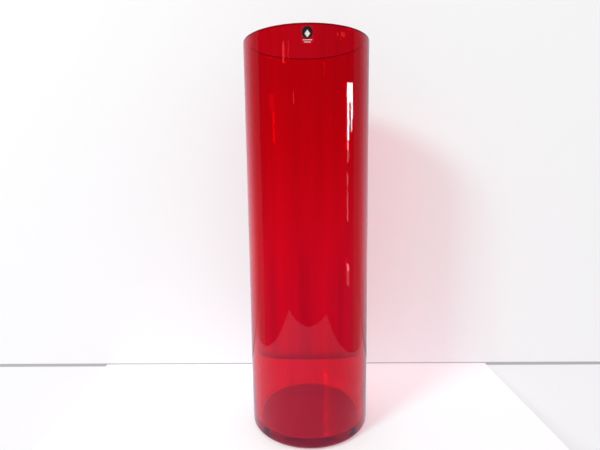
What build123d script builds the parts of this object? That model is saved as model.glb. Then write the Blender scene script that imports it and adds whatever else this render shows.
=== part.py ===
from build123d import *
from math import atan2, cos, degrees, sin
import os

# Tall straight cylinder vase of red glass, with a small adhesive label on the outside of
# its wall, just under the rim.
# Millimetres. The origin is the centre of the plane that the vase rests on, and +Z is up.
# The label is centred on -Y and faces -Y.

# The glass body. The outside is straight; the bore narrows towards the base.
HEIGHT = 357.0
OUTER_DIAMETER = 112.0
RIM_WALL = 3.5              # at the rim
HEEL_WALL = 6.0             # just above the inner floor
FLOOR_THICKNESS = 8.0       # at the edge of the inner floor
FLOOR_DISH = 0.6            # the inner floor is this much lower at its middle
FLOOR_CORNER_RADIUS = 3.0   # where the inner floor turns up into the wall
BASE_CORNER_RADIUS = 5.0    # the outer edge of the base
KICK_DIAMETER = 76.0        # the hollow under the base, which leaves a flat ring to stand on
KICK_DEPTH = 1.2
RIM_RADIUS = 1.2            # the polished edges of the lip, one outside and one inside

# The label: a clear film with two coats of ink, each a thin layer that follows the glass
LABEL_DROP = 2.5            # from the top of the vase down to the film
FILM_WIDTH = 10.2
FILM_HEIGHT = 13.6
FILM_CORNER = 2.5
FILM_THICKNESS = 0.12
INK_THICKNESS = 0.06
FILM_MARGIN = 0.4           # clear film above the dark oval
DISC_WIDTH = 8.5
DISC_HEIGHT = 9.1
DIAMOND_WIDTH = 4.4
DIAMOND_HEIGHT = 5.6
DIAMOND_DROP = 1.0          # how far the lozenge sits below the middle of the oval
BAR_HEIGHT = 0.5
UPPER_BAR_WIDTH = 7.2
LOWER_BAR_WIDTH = 5.1
BAR_GAP = 0.8               # from the oval to the upper bar
BAR_PITCH = 1.6             # from the upper bar to the lower one

# Worked out from the sizes above
OUTER_RADIUS = OUTER_DIAMETER / 2
RIM_BORE = OUTER_RADIUS - RIM_WALL
HEEL_BORE = OUTER_RADIUS - HEEL_WALL
TAPER_HEIGHT = HEIGHT / 3
BORE_LEAN = atan2(HEEL_WALL - RIM_WALL, TAPER_HEIGHT)
INNER_FLOOR_RADIUS = HEEL_BORE - FLOOR_CORNER_RADIUS * cos(BORE_LEAN)
HEEL_HEIGHT = FLOOR_THICKNESS + FLOOR_CORNER_RADIUS * (1 - sin(BORE_LEAN))
KICK_RADIUS = KICK_DIAMETER / 2
FILM_TOP = HEIGHT - LABEL_DROP
FILM_FACE_RADIUS = OUTER_RADIUS + FILM_THICKNESS
DISC_FACE_RADIUS = FILM_FACE_RADIUS + INK_THICKNESS
DISC_TOP = FILM_TOP - FILM_MARGIN
DISC_CENTRE = DISC_TOP - DISC_HEIGHT / 2
UPPER_BAR_CENTRE = DISC_TOP - DISC_HEIGHT - BAR_GAP - BAR_HEIGHT / 2
LOWER_BAR_CENTRE = UPPER_BAR_CENTRE - BAR_PITCH


def cap_radius(half_width, depth):
    # Radius of the sphere whose cap has this half width and this depth.
    return (half_width ** 2 + depth ** 2) / (2 * depth)


def vase_body():
    # Half of the section, from the middle of the underside, round the outside, over the
    # lip, down the inside and back to the axis, then turned about Z.
    outer_lip = OUTER_RADIUS - RIM_RADIUS
    inner_lip = RIM_BORE + RIM_RADIUS
    lip_foot = HEIGHT - RIM_RADIUS
    dish_middle = FLOOR_THICKNESS - FLOOR_DISH
    straight_end = (RIM_BORE, lip_foot - TAPER_HEIGHT)
    taper_start = (RIM_BORE, HEEL_HEIGHT + TAPER_HEIGHT)
    floor_edge = (INNER_FLOOR_RADIUS, FLOOR_THICKNESS)
    corner_turn = 90 - degrees(BORE_LEAN)
    kick_sphere = cap_radius(KICK_RADIUS, KICK_DEPTH)
    dish_sphere = cap_radius(INNER_FLOOR_RADIUS, FLOOR_DISH)
    with BuildSketch(Plane.XZ) as section:
        with BuildLine():
            RadiusArc((0, KICK_DEPTH), (KICK_RADIUS, 0), kick_sphere)
            Line((KICK_RADIUS, 0), (OUTER_RADIUS - BASE_CORNER_RADIUS, 0))
            JernArc((OUTER_RADIUS - BASE_CORNER_RADIUS, 0), (1, 0), BASE_CORNER_RADIUS, 90)
            Line((OUTER_RADIUS, BASE_CORNER_RADIUS), (OUTER_RADIUS, lip_foot))
            JernArc((OUTER_RADIUS, lip_foot), (0, 1), RIM_RADIUS, 90)
            Line((outer_lip, HEIGHT), (inner_lip, HEIGHT))
            JernArc((inner_lip, HEIGHT), (-1, 0), RIM_RADIUS, 90)
            Bezier((RIM_BORE, lip_foot), straight_end, taper_start, (HEEL_BORE, HEEL_HEIGHT))
            JernArc(floor_edge, (1, 0), FLOOR_CORNER_RADIUS, corner_turn)
            RadiusArc(floor_edge, (0, dish_middle), dish_sphere)
            Line((0, dish_middle), (0, KICK_DEPTH))
        make_face()
    return revolve(section.sketch, Axis.Z)


def layer_on_wall(outline, inner_radius, thickness):
    # The part of a thin cylindrical layer round the wall that lies behind a flat outline,
    # which is drawn on the XZ plane and carried out through the -Y side.
    layer = Cylinder(inner_radius + thickness, 2 * HEIGHT) - Cylinder(inner_radius, 2 * HEIGHT)
    cutter = extrude(Plane.XZ * outline, amount=OUTER_DIAMETER)
    return layer & cutter


def label_film():
    outline = Pos(0, FILM_TOP - FILM_HEIGHT / 2) * RectangleRounded(FILM_WIDTH, FILM_HEIGHT, FILM_CORNER)
    return layer_on_wall(outline, OUTER_RADIUS, FILM_THICKNESS)


def label_disc():
    outline = Pos(0, DISC_CENTRE) * Ellipse(DISC_WIDTH / 2, DISC_HEIGHT / 2)
    return layer_on_wall(outline, FILM_FACE_RADIUS, INK_THICKNESS)


def label_diamond():
    # A plain lozenge printed over the oval.
    half_width = DIAMOND_WIDTH / 2
    half_height = DIAMOND_HEIGHT / 2
    corners = [(half_width, 0), (0, half_height), (-half_width, 0), (0, -half_height)]
    outline = Pos(0, DISC_CENTRE - DIAMOND_DROP) * make_face(Polyline(*corners, close=True))
    return layer_on_wall(outline, DISC_FACE_RADIUS, INK_THICKNESS)


def label_bars():
    # Two plain bars printed straight on the film, under the oval.
    upper = Pos(0, UPPER_BAR_CENTRE) * Rectangle(UPPER_BAR_WIDTH, BAR_HEIGHT)
    lower = Pos(0, LOWER_BAR_CENTRE) * Rectangle(LOWER_BAR_WIDTH, BAR_HEIGHT)
    bars = [layer_on_wall(outline, FILM_FACE_RADIUS, INK_THICKNESS) for outline in (upper, lower)]
    return Compound(children=[bar.solids()[0] for bar in bars])


os.makedirs("parts", exist_ok=True)
for make_piece in (vase_body, label_film, label_disc, label_diamond, label_bars):
    export_step(make_piece(), f"parts/{make_piece.__name__}.step")
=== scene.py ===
import math

import bpy
from mathutils import Matrix, Vector, noise


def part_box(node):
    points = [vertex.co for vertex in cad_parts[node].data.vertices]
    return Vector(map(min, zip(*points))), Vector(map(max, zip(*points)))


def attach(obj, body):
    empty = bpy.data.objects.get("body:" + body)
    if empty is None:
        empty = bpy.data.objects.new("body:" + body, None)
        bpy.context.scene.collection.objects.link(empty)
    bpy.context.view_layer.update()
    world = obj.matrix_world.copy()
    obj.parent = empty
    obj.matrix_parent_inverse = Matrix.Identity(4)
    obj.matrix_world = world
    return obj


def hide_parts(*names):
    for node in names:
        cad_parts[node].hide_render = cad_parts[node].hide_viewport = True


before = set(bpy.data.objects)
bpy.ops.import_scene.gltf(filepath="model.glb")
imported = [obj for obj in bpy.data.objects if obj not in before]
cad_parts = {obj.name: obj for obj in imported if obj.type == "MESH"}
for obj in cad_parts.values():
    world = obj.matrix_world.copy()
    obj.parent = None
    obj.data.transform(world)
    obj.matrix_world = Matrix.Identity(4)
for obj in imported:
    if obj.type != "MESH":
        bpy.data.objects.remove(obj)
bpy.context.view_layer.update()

# Sizes read from the frame. Everything here is in metres.
body_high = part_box("vase_body")[1]
film_low, film_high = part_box("label_film")
disc_low, disc_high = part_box("label_disc")
diamond_low, diamond_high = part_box("label_diamond")
bars_low, bars_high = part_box("label_bars")
HEIGHT = body_high.z
OUTER_RADIUS = body_high.x

# The rest of the glass section, as the part is drawn
RIM_WALL = 0.0035
HEEL_WALL = 0.0060
FLOOR_THICKNESS = 0.0080
FLOOR_DISH = 0.0006
FLOOR_CORNER_RADIUS = 0.0030
BASE_CORNER_RADIUS = 0.0050
KICK_RADIUS = 0.0380
KICK_DEPTH = 0.0012
RIM_RADIUS = 0.0012
RIM_BORE = OUTER_RADIUS - RIM_WALL
HEEL_BORE = OUTER_RADIUS - HEEL_WALL
TAPER_HEIGHT = HEIGHT / 3
BORE_LEAN = math.atan2(HEEL_WALL - RIM_WALL, TAPER_HEIGHT)
INNER_FLOOR_RADIUS = HEEL_BORE - FLOOR_CORNER_RADIUS * math.cos(BORE_LEAN)
HEEL_HEIGHT = FLOOR_THICKNESS + FLOOR_CORNER_RADIUS * (1 - math.sin(BORE_LEAN))
LIP_FOOT = HEIGHT - RIM_RADIUS
SEGMENTS = 320

# How far the two faces of the wall wander into the glass, and how it fades out to leave the foot
# and the lip true: the plain height at each end, then the height over which it fades
OUTER_WANDER = 0.00002
INNER_WANDER = 0.00012
TRUE_FOOT = 0.008
TRUE_LIP = 0.002
FADE_HEIGHT = 0.03

# The glass: the share of the light that each crossing of the lip's edge lets through, darkened
# as painted shade for the dark line along the lip, the tint of what its surface reflects, and how
# it reddens light on its way through
LIP_PAINTED_SHADE = (0.42, 0.20, 0.22)
REFLECTION_TINT = (1.0, 0.42, 0.85, 1.0)
ABSORPTION_COLOUR = (0.9945, 0.0, 0.17, 1)
ABSORPTION_DENSITY = 1700.0

# The label, on the outside of the wall
FILM_CORNER = 0.0025
BAR_HEIGHT = 0.0005
LOWER_BAR_SHARE = 5.1 / 7.2     # of the upper bar's width
FILM_THICKNESS = 0.00010
INK_THICKNESS = 0.00005
GLUE_GAP = 0.00001
FILM_BACK = OUTER_RADIUS + GLUE_GAP
PRINT_BACK = FILM_BACK + FILM_THICKNESS + GLUE_GAP
OVERPRINT_BACK = PRINT_BACK + INK_THICKNESS + GLUE_GAP

# Camera: its distance and height are multiples of the vase's radius, from its axis and resting
# plane. The view azimuth turns the camera, the lights and the stage together round the vase.
VIEW_AZIMUTH = math.radians(-1.10)
CAMERA_DISTANCE = 7.152
CAMERA_HEIGHT = 4.389
CAMERA_PITCH = math.radians(7.563)
CAMERA_YAW = math.radians(1.073)
CAMERA_ROLL = math.radians(-0.724)
CAMERA_LENS = 25.572

# Stage: the plinth's outline and the wall's place are in the same multiples, seen from above with
# the camera on the -Y side. The rest is in metres.
PLINTH_CORNERS = [
    (-4.45, -6.3), (3.75, -6.3), (4.04, -1.0), (3.95, 2.02), (-4.62, 2.02), (-4.42, -0.9)
]
WALL_BEHIND = 2.085
PLINTH_DEPTH = 0.6
STAGE_GAP = 0.0003
JOINT_DEPTH = 0.004
JOINT_SHADE = 0.5               # how much darker the joint of wall and plinth is

# What the glass shows of the stage by its own glow
PLINTH_GLOW = 1.2
WALL_GLOW_LOW = 0.97            # up to the first of these heights, and then
WALL_GLOW_HIGH = 0.73           # falling to this at the second
WALL_GLOW_HEIGHTS = (0.15, 0.36)
# Painted shade of the vase on the plinth, as the glass shows it.
UNDER_VASE_SHARE = 0.49         # of the plinth's glow, on the part that the vase covers
NARROW_GLOW = 0.22              # beyond this far to a side the glow falls away
LEAST_SIDE_SHARE = 0.4          # and it falls no lower than this share
BENT_JOINT_FOOT = 0.002         # how high up the wall the joint shows through the glass
BENT_JOINT_SHADE = 0.45
COLUMN_SHADE = 0.14
DARK_COLUMNS = [(-0.050, 0.005), (-0.003, 0.008), (0.048, 0.005)]     # middle, half width
COLUMN_HEIGHTS = (0.12, 0.17)           # where the columns start to fade, and where they end
GLOW_FIRST = (1.05, 0.96, 1.08)         # as a reflection shows it
GLOW_THROUGH_GLASS = (0.71, 0.96, 1.08)

# Key light
KEY_AZIMUTH = math.radians(-45)
KEY_ELEVATION = math.radians(36)
KEY_DISTANCE = 2.6
KEY_AIM = Vector((0, 0, 0.2))
KEY_SIZE = 0.5
KEY_ENERGY = 30.0
STOPPED_COLOUR = (0.45, 1, 0.93)
PASSING_COLOUR = (0.55, 0, 0.07)

# What the vase mirrors from the room. Each card is upright, at CARD_DISTANCE from the axis: where
# it starts and ends, in degrees round from the camera's side, its foot and top, its brightness.
CARD_DISTANCE = 1.04
CARDS = {
    "window_top": (74.6, 88.3, 0.443, 0.503, 45.0),
    "window_left": (75.0, 79.7, 0.331, 0.443, 45.0),
    "window_right": (83.7, 88.3, 0.392, 0.443, 40.0),
    "window_right_foot": (83.7, 86.6, 0.356, 0.392, 30.0),
    "shelf_top": (74.5, 79.0, 0.301, 0.325, 12.0),
    "shelf_middle": (75.0, 79.4, 0.262, 0.301, 3.0),
    "shelf_low": (74.2, 77.6, 0.186, 0.233, 3.2),
    "shelf_foot": (74.4, 78.1, 0.075, 0.176, 3.2),
    "floor_glint_top": (74.6, 80.4, -0.086, -0.062, 7.0),
    "floor_glint": (74.4, 80.4, -0.135, -0.086, 2.2),
    "lamp_far_left": (-41.0, -37.4, 0.560, 0.622, 5.0),
    "lamp_left": (-31.3, -29.4, 0.570, 0.624, 2.6),
    "lamp_low_left": (-23.7, -21.3, 0.439, 0.478, 3.0),
    "lamp_right": (53.4, 56.0, 0.636, 0.656, 3.0),
    "lamp_far_right": (61.1, 69.8, 0.634, 0.654, 2.4),
}
# How much of a card still shows on the vase's far side, through the glass. The others don't.
SHOWS_THROUGH = {"window_left": 0.8, "window_top": 0.25}
CARD_COLOUR = (0.9, 0.75, 0.50, 1)      # except a window or a lamp
WINDOW_COLOUR = (0.2, 0.85, 0.52, 1)
LAMP_COLOUR = (1.0, 0.25, 0.14, 1)


# ---------------------------------------------------------------- node helpers

def new_material(name):
    material = bpy.data.materials.new(name)
    material.use_nodes = True
    tree = material.node_tree
    return material, tree, tree.nodes["Principled BSDF"]


def add_node(tree, kind, **values):
    """A node with its settings, and with its sockets' own values where a key names a socket."""
    node = tree.nodes.new(kind)
    for key, value in values.items():
        if key in node.inputs:
            node.inputs[key].default_value = value
        else:
            setattr(node, key, value)
    return node


def grain(tree, scale, stretch=(1, 1, 1), detail=3.0):
    """Solid noise in the frame's own metres, so that it needs no unwrapping."""
    place = tree.nodes.new("ShaderNodeTexCoord")
    shape = add_node(tree, "ShaderNodeMapping")
    shape.inputs["Scale"].default_value = stretch
    speckle = add_node(tree, "ShaderNodeTexNoise", Scale=scale, Detail=detail)
    tree.links.new(place.outputs["Object"], shape.inputs["Vector"])
    tree.links.new(shape.outputs["Vector"], speckle.inputs["Vector"])
    return speckle.outputs["Fac"]


def spread(tree, source, low, high, to_low, to_high):
    """Maps source from low..high to to_low..to_high, held at the ends."""
    ramp = add_node(tree, "ShaderNodeMapRange", clamp=True)
    ends = {"From Min": low, "From Max": high, "To Min": to_low, "To Max": to_high}
    for socket, value in ends.items():
        ramp.inputs[socket].default_value = value
    tree.links.new(source, ramp.inputs["Value"])
    return ramp.outputs["Result"]


def calculated(tree, operation, first, second=0.0, third=0.0):
    """A Math node; each of its inputs is a socket or a number."""
    node = add_node(tree, "ShaderNodeMath", operation=operation)
    for socket, value in zip(node.inputs, (first, second, third)):
        if isinstance(value, bpy.types.NodeSocket):
            tree.links.new(value, socket)
        else:
            socket.default_value = value
    return node.outputs[0]


def product(tree, *factors):
    """The factors multiplied together, in their order."""
    total = factors[0]
    for factor in factors[1:]:
        total = calculated(tree, "MULTIPLY", total, factor)
    return total


def shaded(tree, share, depth):
    """1 where share is 0, and lower by depth where it is 1."""
    return calculated(tree, "MULTIPLY_ADD", share, -depth, 1.0)


def blend(tree, first, second, share):
    """The first colour where share is 0 and the second where it is 1."""
    mix = add_node(tree, "ShaderNodeMix", data_type="RGBA")
    mix.inputs["A"].default_value = (*first, 1)
    mix.inputs["B"].default_value = (*second, 1)
    tree.links.new(share, mix.inputs["Factor"])
    return mix.outputs["Result"]


def separated(tree, vector):
    split = tree.nodes.new("ShaderNodeSeparateXYZ")
    tree.links.new(vector, split.inputs[0])
    return tuple(split.outputs)


def either(tree, share, first, second):
    """The first shader where share is 0 and the second where it is 1."""
    mix = tree.nodes.new("ShaderNodeMixShader")
    for source, socket in zip((share, first, second), mix.inputs):
        tree.links.new(source, socket)
    return mix.outputs[0]


def relief(tree, shader, source, distance):
    bump = add_node(tree, "ShaderNodeBump", Strength=1.0, Distance=distance)
    tree.links.new(source, bump.inputs["Height"])
    tree.links.new(bump.outputs["Normal"], shader.inputs["Normal"])


# ---------------------------------------------------------------- meshes

def arc(centre, radius, start, end, steps):
    """Points on an arc in the (radius, height) plane; angles in degrees from +r towards +z."""
    points = []
    for i in range(steps + 1):
        angle = math.radians(start + (end - start) * i / steps)
        points.append((centre[0] + radius * math.cos(angle), centre[1] + radius * math.sin(angle)))
    return points


def straight(start, end, steps):
    """Points between start and end, without either."""
    return [
        (start[0] + (end[0] - start[0]) * i / steps, start[1] + (end[1] - start[1]) * i / steps)
        for i in range(1, steps)
    ]


def bezier(a, b, c, d, steps):
    """Points between a and d on the cubic curve with these handles, without either end."""
    points = []
    for i in range(1, steps):
        t = i / steps
        shares = ((1 - t) ** 3, 3 * (1 - t) ** 2 * t, 3 * (1 - t) * t ** 2, t ** 3)
        points.append(tuple(sum(s * p[k] for s, p in zip(shares, (a, b, c, d))) for k in (0, 1)))
    return points


def bowl(radius, edge_height, middle_height, steps):
    """A shallow dish from just off the axis out to its edge."""
    rise = edge_height - middle_height
    return [
        (radius * i / steps, middle_height + rise * (i / steps) ** 2) for i in range(1, steps + 1)
    ]


def outer_face():
    """The underside, the outside and the outer edge of the lip, from just off the axis."""
    foot = OUTER_RADIUS - BASE_CORNER_RADIUS
    points = bowl(KICK_RADIUS, 0, KICK_DEPTH, 16)
    points += straight((KICK_RADIUS, 0), (foot, 0), 6)
    points += arc((foot, BASE_CORNER_RADIUS), BASE_CORNER_RADIUS, -90, 0, 18)
    points += straight((OUTER_RADIUS, BASE_CORNER_RADIUS), (OUTER_RADIUS, LIP_FOOT), 72)
    points += arc((OUTER_RADIUS - RIM_RADIUS, LIP_FOOT), RIM_RADIUS, 0, 90, 8)
    return points


def inner_face():
    """The inner edge of the lip, the tapering bore and the inner floor, to just off the axis."""
    lip = (RIM_BORE, LIP_FOOT)
    heel = (HEEL_BORE, HEEL_HEIGHT)
    straight_end = (RIM_BORE, LIP_FOOT - TAPER_HEIGHT)
    taper_start = (RIM_BORE, HEEL_HEIGHT + TAPER_HEIGHT)
    corner = (INNER_FLOOR_RADIUS, FLOOR_THICKNESS + FLOOR_CORNER_RADIUS)
    points = arc((RIM_BORE + RIM_RADIUS, LIP_FOOT), RIM_RADIUS, 90, 180, 8)
    points += bezier(lip, straight_end, taper_start, heel, 96)
    points += arc(corner, FLOOR_CORNER_RADIUS, -math.degrees(BORE_LEAN), -90, 14)
    floor = bowl(INNER_FLOOR_RADIUS, FLOOR_THICKNESS, FLOOR_THICKNESS - FLOOR_DISH, 20)
    return points + floor[-2::-1]


def wander(angle, height, seed):
    """0 to 1: slow ripples round the wall, drawn out along it, with a little broad swelling."""
    around = Vector((math.cos(angle), math.sin(angle), 0))
    fine = noise.noise(around * 5.0 + Vector((seed, 0, height * 3.0)))
    broad = noise.noise(around * 1.6 + Vector((0, seed, height * 9.0)))
    return min(max(0.5 + 0.30 * fine + 0.35 * broad, 0), 1)


def fade(height):
    """0 at the foot and the lip, so that those stay true, and 1 along the wall."""
    up = min(max((height - TRUE_FOOT) / FADE_HEIGHT, 0), 1)
    down = min(max((HEIGHT - TRUE_LIP - height) / FADE_HEIGHT, 0), 1)
    return up * down


def make_glass():
    outside = outer_face()
    rings = outside + inner_face()
    vertices = [(0, 0, KICK_DEPTH)]
    for index, (radius, height) in enumerate(rings):
        is_outside = index < len(outside)
        for s in range(SEGMENTS):
            angle = 2 * math.pi * s / SEGMENTS
            r = radius
            if is_outside:
                r -= OUTER_WANDER * wander(angle, height, 3.1) * fade(height)
            elif height > FLOOR_THICKNESS:
                r += INNER_WANDER * wander(angle, height, 8.7) * fade(height)
            vertices.append((r * math.cos(angle), r * math.sin(angle), height))
    vertices.append((0, 0, FLOOR_THICKNESS - FLOOR_DISH))
    last = len(vertices) - 1
    faces = []
    for s in range(SEGMENTS):
        t = (s + 1) % SEGMENTS
        faces.append((0, 1 + t, 1 + s))
        for ring in range(len(rings) - 1):
            a = 1 + ring * SEGMENTS
            b = a + SEGMENTS
            faces.append((a + s, a + t, b + t, b + s))
        a = 1 + (len(rings) - 1) * SEGMENTS
        faces.append((a + s, a + t, last))
    return mesh_object("vase_glass", vertices, faces)


def mesh_object(name, vertices, faces, smooth=True):
    mesh = bpy.data.meshes.new(name)
    mesh.from_pydata(vertices, [], faces)
    mesh.validate()
    mesh.update()
    for polygon in mesh.polygons:
        polygon.use_smooth = smooth
    piece = bpy.data.objects.new(name, mesh)
    bpy.context.scene.collection.objects.link(piece)
    return piece


def label_layer(name, outlines, back_radius, thickness):
    """A thin closed layer on the outside of the -Y wall for each flat outline of (x, z) points.
    Each face is rings of the outline, drawn in to these shares of its size, and a middle point."""
    shares = (1.0, 0.94, 0.66, 0.33)
    vertices = []
    faces = []
    for outline in outlines:
        start = len(vertices)
        count = len(outline)
        middle_x = sum(p[0] for p in outline) / count
        middle_z = sum(p[1] for p in outline) / count
        for radius in (back_radius, back_radius + thickness):
            for share in shares:
                for x, z in outline:
                    px = middle_x + (x - middle_x) * share
                    pz = middle_z + (z - middle_z) * share
                    vertices.append((px, -math.sqrt(radius ** 2 - px ** 2), pz))
            vertices.append((middle_x, -math.sqrt(radius ** 2 - middle_x ** 2), middle_z))
        side = count * len(shares) + 1
        for layer in (0, 1):
            base = start + layer * side
            for k in range(len(shares)):
                for i in range(count):
                    a = base + k * count + i
                    b = base + k * count + (i + 1) % count
                    last_ring = k == len(shares) - 1
                    face = (a, b, base + side - 1) if last_ring else (a, b, b + count, a + count)
                    faces.append(face if layer else face[::-1])
        for i in range(count):
            j = (i + 1) % count
            faces.append((start + i, start + j, start + side + j, start + side + i))
    return mesh_object(name, vertices, faces, smooth=False)


def rounded_rectangle(low, high, corner, steps):
    right, left = high.x - corner, low.x + corner
    top, bottom = high.z - corner, low.z + corner
    points = []
    centres = ((right, top), (left, top), (left, bottom), (right, bottom))
    for quarter, centre in enumerate(centres):
        points += arc(centre, corner, 90 * quarter, 90 * quarter + 90, steps)
    return points


def oval(low, high, steps):
    middle = (low + high) / 2
    size = (high - low) / 2
    turns = [2 * math.pi * i / steps for i in range(steps)]
    return [(middle.x + size.x * math.cos(a), middle.z + size.z * math.sin(a)) for a in turns]


def lozenge(low, high):
    middle = (low + high) / 2
    return [(high.x, middle.z), (middle.x, high.z), (low.x, middle.z), (middle.x, low.z)]


def two_bars(low, high):
    """The wide bar along the top of the box and the narrow one along its foot."""
    corner = BAR_HEIGHT * 0.3
    half_width = high.x * LOWER_BAR_SHARE
    upper_low = Vector((low.x, 0, high.z - BAR_HEIGHT))
    lower_low = Vector((-half_width, 0, low.z))
    lower_high = Vector((half_width, 0, low.z + BAR_HEIGHT))
    return [
        rounded_rectangle(upper_low, high, corner, 3),
        rounded_rectangle(lower_low, lower_high, corner, 3),
    ]


# ---------------------------------------------------------------- materials

def red_glass_material():
    """Deep red through its thickness, with faint drawn-out cords and a few dull finger smudges.
    The edge of the lip is darkened to a dull red: painted shade for the dark line along the lip."""
    material, tree, shader = new_material("red_glass")
    height = separated(tree, tree.nodes.new("ShaderNodeTexCoord").outputs["Object"])[2]
    on_lip = spread(tree, height, LIP_FOOT - 0.0002, LIP_FOOT + 0.0004, 0.0, 1.0)
    # Painted shade: the lip's edge is given a dark red colour for the dark line it shows.
    tree.links.new(blend(tree, (1.0, 1.0, 1.0), LIP_PAINTED_SHADE, on_lip), shader.inputs["Base Color"])
    shader.inputs["Transmission Weight"].default_value = 1.0
    shader.inputs["IOR"].default_value = 1.5
    shader.inputs["Specular Tint"].default_value = REFLECTION_TINT
    smudges = spread(tree, grain(tree, 22.0, detail=6.0), 0.60, 0.80, 0.0, 0.03)
    tree.links.new(smudges, shader.inputs["Roughness"])
    relief(tree, shader, grain(tree, 45.0, stretch=(1, 1, 0.12), detail=1.0), 0.000006)
    absorb = add_node(
        tree, "ShaderNodeVolumeAbsorption", Color=ABSORPTION_COLOUR, Density=ABSORPTION_DENSITY
    )
    tree.links.new(absorb.outputs["Volume"], tree.nodes["Material Output"].inputs["Volume"])
    return material


def ink_material(name, dark, light, roughness):
    """Screen-printed ink: mottled where it lies thick and thin, with a fine orange-peel surface."""
    material, tree, shader = new_material(name)
    mottle = spread(tree, grain(tree, 1400.0), 0.35, 0.65, 0, 1)
    tree.links.new(blend(tree, dark, light, mottle), shader.inputs["Base Color"])
    dullness = spread(tree, grain(tree, 700.0), 0.3, 0.7, roughness - 0.08, roughness + 0.08)
    tree.links.new(dullness, shader.inputs["Roughness"])
    relief(tree, shader, grain(tree, 4000.0, detail=1.0), 0.000004)
    return material


def film_material():
    """Clear film with a slightly uneven gloss."""
    material, tree, shader = new_material("clear_film")
    shader.inputs["Base Color"].default_value = (1, 1, 1, 1)
    shader.inputs["Transmission Weight"].default_value = 1.0
    shader.inputs["IOR"].default_value = 1.15
    gloss = spread(tree, grain(tree, 500.0), 0.3, 0.7, 0.01, 0.06)
    tree.links.new(gloss, shader.inputs["Roughness"])
    relief(tree, shader, grain(tree, 900.0, detail=2.0), 0.000003)
    return material


# ---------------------------------------------------------------- stage

def direct_look(tree, joint, colour, lift):
    """What the camera sees: matt, lit and shaded, and lifted a little by light of its own."""
    clean = shaded(tree, joint, JOINT_SHADE)
    matt = tree.nodes.new("ShaderNodeBsdfDiffuse")
    tint = blend(tree, [0.97 * c for c in colour], colour, grain(tree, 60.0, detail=6.0))
    dimmed = add_node(tree, "ShaderNodeVectorMath", operation="SCALE")
    tree.links.new(tint, dimmed.inputs[0])
    tree.links.new(clean, dimmed.inputs["Scale"])
    tree.links.new(dimmed.outputs[0], matt.inputs["Color"])
    lifted = tree.nodes.new("ShaderNodeEmission")
    tree.links.new(product(tree, clean, lift), lifted.inputs["Strength"])
    lit = tree.nodes.new("ShaderNodeAddShader")
    tree.links.new(matt.outputs[0], lit.inputs[0])
    tree.links.new(lifted.outputs[0], lit.inputs[1])
    return lit.outputs[0]


def glow_by_height(tree, z, glow_low, glow_high, glow_below_joint):
    """The glow up the wall, with the joint where the glass shows it."""
    joint_top = BENT_JOINT_FOOT + 0.002
    along = spread(tree, z, *WALL_GLOW_HEIGHTS, glow_low, glow_high)
    foot = spread(tree, z, 0.0, 0.12, 0.90, 1.0)
    step = spread(tree, z, BENT_JOINT_FOOT, joint_top, glow_below_joint / glow_low, 1.0)
    joint = product(tree, spread(tree, z, BENT_JOINT_FOOT, joint_top, 0, 1),
                    spread(tree, z, BENT_JOINT_FOOT + 0.003, BENT_JOINT_FOOT + 0.012, 1, 0))
    return product(tree, along, foot, step, shaded(tree, joint, BENT_JOINT_SHADE))


def glow_by_side(tree, x, z):
    """Its fall to both sides, and the upright streaks and columns that the glass shows."""
    falling = calculated(tree, "DIVIDE", NARROW_GLOW, calculated(tree, "ABSOLUTE", x))
    side = spread(tree, falling, LEAST_SIDE_SHARE, 1.0, LEAST_SIDE_SHARE, 1.0)
    rightward = spread(tree, x, -0.05, 0.10, 1.0, 0.80)
    streaks = spread(tree, grain(tree, 70.0, stretch=(1, 0, 0.04)), 0.35, 0.65, 0.91, 1.07)
    total = product(tree, side, rightward, streaks)
    low_down = product(tree, spread(tree, z, *COLUMN_HEIGHTS, 1.0, 0.0),
                       spread(tree, z, 0.0, 0.01, 0.0, 1.0))
    for middle, half in DARK_COLUMNS:
        off = calculated(tree, "ABSOLUTE", calculated(tree, "SUBTRACT", x, middle))
        across = spread(tree, off, 0.6 * half, 1.3 * half, COLUMN_SHADE, 0.0)
        total = product(tree, total, shaded(tree, product(tree, across, low_down), 1.0))
    return total


def stage_material(name, colour, lift, glow_low, glow_high, glow_below_joint):
    """Matt and pale, seen from its front only, with a dark joint where the wall meets the plinth.
    The camera sees it lit and shaded. The glass bends and mirrors it as an even glow, which falls
    away to both sides and up the wall, and is dimmer under the vase itself: painted shade of the
    vase."""
    material, tree, shader = new_material(name)
    tree.nodes.remove(shader)
    geometry = tree.nodes.new("ShaderNodeNewGeometry")
    path = tree.nodes.new("ShaderNodeLightPath")
    x, y, z = separated(tree, geometry.outputs["Position"])

    joint = calculated(tree, "COMPARE", z, -JOINT_DEPTH / 2 - 2 * STAGE_GAP, JOINT_DEPTH / 2)
    lit = direct_look(tree, joint, colour, lift)

    off_axis = calculated(
        tree, "SQRT", calculated(tree, "MULTIPLY_ADD", x, x, product(tree, y, y))
    )
    # Painted shade: the glow is dimmer where the vase stands on the plinth.
    painted_shade_under_vase = spread(tree, off_axis, 0.90 * OUTER_RADIUS, OUTER_RADIUS, UNDER_VASE_SHARE, 1.0)
    by_height = glow_by_height(tree, z, glow_low, glow_high, glow_below_joint)
    strength = product(tree, by_height, glow_by_side(tree, x, z), painted_shade_under_vase)
    glow = tree.nodes.new("ShaderNodeEmission")
    hue = blend(tree, GLOW_FIRST, GLOW_THROUGH_GLASS, path.outputs["Transmission Depth"])
    tree.links.new(hue, glow.inputs["Color"])
    tree.links.new(strength, glow.inputs["Strength"])

    seen = either(tree, path.outputs["Is Camera Ray"], glow.outputs[0], lit)
    clear = tree.nodes.new("ShaderNodeBsdfTransparent")
    front_only = either(tree, geometry.outputs["Backfacing"], seen, clear.outputs[0])
    tree.links.new(front_only, tree.nodes["Material Output"].inputs["Surface"])
    return material


def placed(obj):
    """Turns a stage object, camera or light from the camera's own axes to the frame's."""
    obj.matrix_world = Matrix.Rotation(VIEW_AZIMUTH, 4, "Z") @ obj.matrix_world


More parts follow.
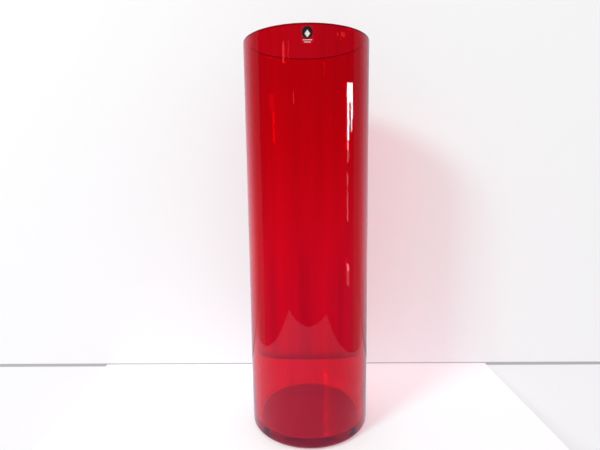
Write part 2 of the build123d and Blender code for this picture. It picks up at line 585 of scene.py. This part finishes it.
def make_plinth():
    top, bottom = -STAGE_GAP, -STAGE_GAP - PLINTH_DEPTH
    count = len(PLINTH_CORNERS)
    outline = [(x * OUTER_RADIUS, y * OUTER_RADIUS) for x, y in PLINTH_CORNERS]
    vertices = [(x, y, z) for z in (top, bottom) for x, y in outline]
    faces = [tuple(range(count))]
    faces += [(i, i + count, (i + 1) % count + count, (i + 1) % count) for i in range(count)]
    plinth = mesh_object("stage_plinth", vertices, faces, smooth=False)
    white = stage_material(
        "plinth_white", colour=(0.86, 0.86, 0.86), lift=0.32,
        glow_low=PLINTH_GLOW, glow_high=PLINTH_GLOW, glow_below_joint=PLINTH_GLOW
    )
    plinth.data.materials.append(white)
    placed(plinth)
    return plinth


def make_wall():
    half, low, high = 2.5, -1.0, 2.0
    back = WALL_BEHIND * OUTER_RADIUS
    vertices = [(-half, back, low), (half, back, low), (half, back, high), (-half, back, high)]
    wall = mesh_object("stage_wall", vertices, [(0, 1, 2, 3)], smooth=False)
    white = stage_material(
        "wall_white", colour=(0.8, 0.8, 0.8), lift=0.22,
        glow_low=WALL_GLOW_LOW, glow_high=WALL_GLOW_HIGH, glow_below_joint=PLINTH_GLOW
    )
    wall.data.materials.append(white)
    placed(wall)
    return wall


def make_world():
    """Pale to the camera, and soft light to the rest. What the glass mirrors is a dim room, or a
    dull red once the light has been inside the glass."""
    world = bpy.data.worlds.new("studio")
    bpy.context.scene.world = world
    world.use_nodes = True
    tree = world.node_tree
    tree.nodes.clear()
    output = tree.nodes.new("ShaderNodeOutputWorld")
    path = tree.nodes.new("ShaderNodeLightPath")
    pale = add_node(tree, "ShaderNodeBackground", Color=(0.93, 0.935, 0.94, 1))
    soft = add_node(tree, "ShaderNodeBackground", Color=(0.98, 0.99, 1.0, 1), Strength=0.65)
    room = add_node(tree, "ShaderNodeBackground", Color=(0.10, 0.05, 0.14, 1))
    trapped = add_node(tree, "ShaderNodeBackground", Color=(0.45, 0.20, 0.25, 1))
    height = separated(tree, tree.nodes.new("ShaderNodeTexCoord").outputs["Generated"])[2]
    tree.links.new(spread(tree, height, -0.30, 0.05, 3.0, 0.8), room.inputs["Strength"])
    mirrored = calculated(tree, "GREATER_THAN", path.outputs["Glossy Depth"], 0.5)
    outside = calculated(tree, "LESS_THAN", path.outputs["Transmission Depth"], 0.5)
    direct = either(tree, path.outputs["Is Camera Ray"], soft.outputs[0], pale.outputs[0])
    rebound = either(tree, outside, trapped.outputs[0], room.outputs[0])
    tree.links.new(either(tree, mirrored, direct, rebound), output.inputs["Surface"])


def aimed(location, target):
    """A matrix at location with -Z towards target."""
    turn = (target - location).to_track_quat("-Z", "Y").to_matrix().to_4x4()
    return Matrix.Translation(location) @ turn


def make_key_light(blockers):
    """Soft light from the front left, in two lamps at one place. The vase stops the first, which
    has nearly all the green and blue and under half of the red. Only the blockers stop the second,
    so the vase's shadow is pink."""
    level = math.cos(KEY_ELEVATION)
    towards = Vector((
        math.sin(KEY_AZIMUTH) * level, -math.cos(KEY_AZIMUTH) * level, math.sin(KEY_ELEVATION)
    ))
    spot = towards * KEY_DISTANCE + KEY_AIM
    stopped = bpy.data.collections.new("stops_red_light")
    for blocker in blockers:
        stopped.objects.link(blocker)
    for name, colour in (("key", STOPPED_COLOUR), ("key_red", PASSING_COLOUR)):
        data = bpy.data.lights.new(name, "AREA")
        data.size = KEY_SIZE
        data.energy = KEY_ENERGY
        data.color = colour
        lamp = bpy.data.objects.new(name, data)
        bpy.context.scene.collection.objects.link(lamp)
        lamp.matrix_world = aimed(spot, KEY_AIM)
        lamp.visible_camera = False
        lamp.visible_glossy = False
        if name == "key_red":
            lamp.light_linking.blocker_collection = stopped
        placed(lamp)


def make_card(name, azimuth_start, azimuth_end, z_low, z_high, strength):
    """A bright upright card that shows only in reflections, such as a pane of a window across
    the room."""
    corners = []
    for z in (z_low, z_high):
        for azimuth in (azimuth_start, azimuth_end):
            a = math.radians(azimuth)
            corners.append((CARD_DISTANCE * math.sin(a), -CARD_DISTANCE * math.cos(a), z))
    card = mesh_object(name, corners, [(0, 1, 3, 2)], smooth=False)
    material, tree, shader = new_material(name)
    tree.nodes.remove(shader)
    path = tree.nodes.new("ShaderNodeLightPath")
    mirrored = calculated(tree, "GREATER_THAN", path.outputs["Glossy Depth"], 0.5)
    through = SHOWS_THROUGH.get(name, 0.0)
    reach = spread(tree, path.outputs["Transmission Depth"], 2, 3, 1.0, through)
    colour = CARD_COLOUR
    if name.startswith("window"):
        colour = WINDOW_COLOUR
    if name.startswith("lamp"):
        colour = LAMP_COLOUR
    glow = add_node(tree, "ShaderNodeEmission", Color=colour, Strength=strength)
    clear = tree.nodes.new("ShaderNodeBsdfTransparent")
    shown = either(tree, product(tree, mirrored, reach), clear.outputs[0], glow.outputs[0])
    tree.links.new(shown, tree.nodes["Material Output"].inputs["Surface"])
    card.data.materials.append(material)
    card.visible_camera = False
    card.visible_diffuse = False
    card.visible_shadow = False
    placed(card)


def make_camera():
    data = bpy.data.cameras.new("camera")
    data.sensor_width = 36.0
    data.lens = CAMERA_LENS
    data.clip_start = 0.05
    data.clip_end = 50.0
    camera = bpy.data.objects.new("camera", data)
    bpy.context.scene.collection.objects.link(camera)
    spot = Vector((0, -CAMERA_DISTANCE, CAMERA_HEIGHT)) * OUTER_RADIUS
    yaw = Matrix.Rotation(CAMERA_YAW, 4, "Z")
    pitch = Matrix.Rotation(math.pi / 2 - CAMERA_PITCH, 4, "X")
    roll = Matrix.Rotation(CAMERA_ROLL, 4, "Z")
    camera.matrix_world = Matrix.Translation(spot) @ yaw @ pitch @ roll
    placed(camera)
    bpy.context.scene.camera = camera


# ---------------------------------------------------------------- the object

def add_piece(piece, material, node):
    piece.data.materials.append(material)
    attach(piece, "root")
    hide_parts(node)


black_ink = ink_material("black_ink", (0.010, 0.008, 0.009), (0.020, 0.017, 0.018), 0.35)
cream_ink = ink_material("cream_ink", (0.80, 0.75, 0.64), (0.90, 0.86, 0.76), 0.6)
film_outline = rounded_rectangle(film_low, film_high, FILM_CORNER, 8)
disc_outline = oval(disc_low, disc_high, 64)
diamond_outline = lozenge(diamond_low, diamond_high)

glass = make_glass()
film = label_layer("label_film_skin", [film_outline], FILM_BACK, FILM_THICKNESS)
disc = label_layer("label_disc_print", [disc_outline], PRINT_BACK, INK_THICKNESS)
diamond = label_layer("label_diamond_print", [diamond_outline], OVERPRINT_BACK, INK_THICKNESS)
bars = label_layer("label_bars_print", two_bars(bars_low, bars_high), PRINT_BACK, INK_THICKNESS)

add_piece(glass, red_glass_material(), "vase_body")
add_piece(film, film_material(), "label_film")
add_piece(disc, black_ink, "label_disc")
add_piece(diamond, cream_ink, "label_diamond")
add_piece(bars, cream_ink, "label_bars")

make_world()
make_key_light([make_plinth(), make_wall()])
for card_name, card in CARDS.items():
    make_card(card_name, *card)
make_camera()

scene = bpy.context.scene
scene.view_settings.view_transform = "Standard"
scene.cycles.max_bounces = 64
scene.cycles.transmission_bounces = 64
scene.cycles.glossy_bounces = 64
scene.cycles.transparent_max_bounces = 16
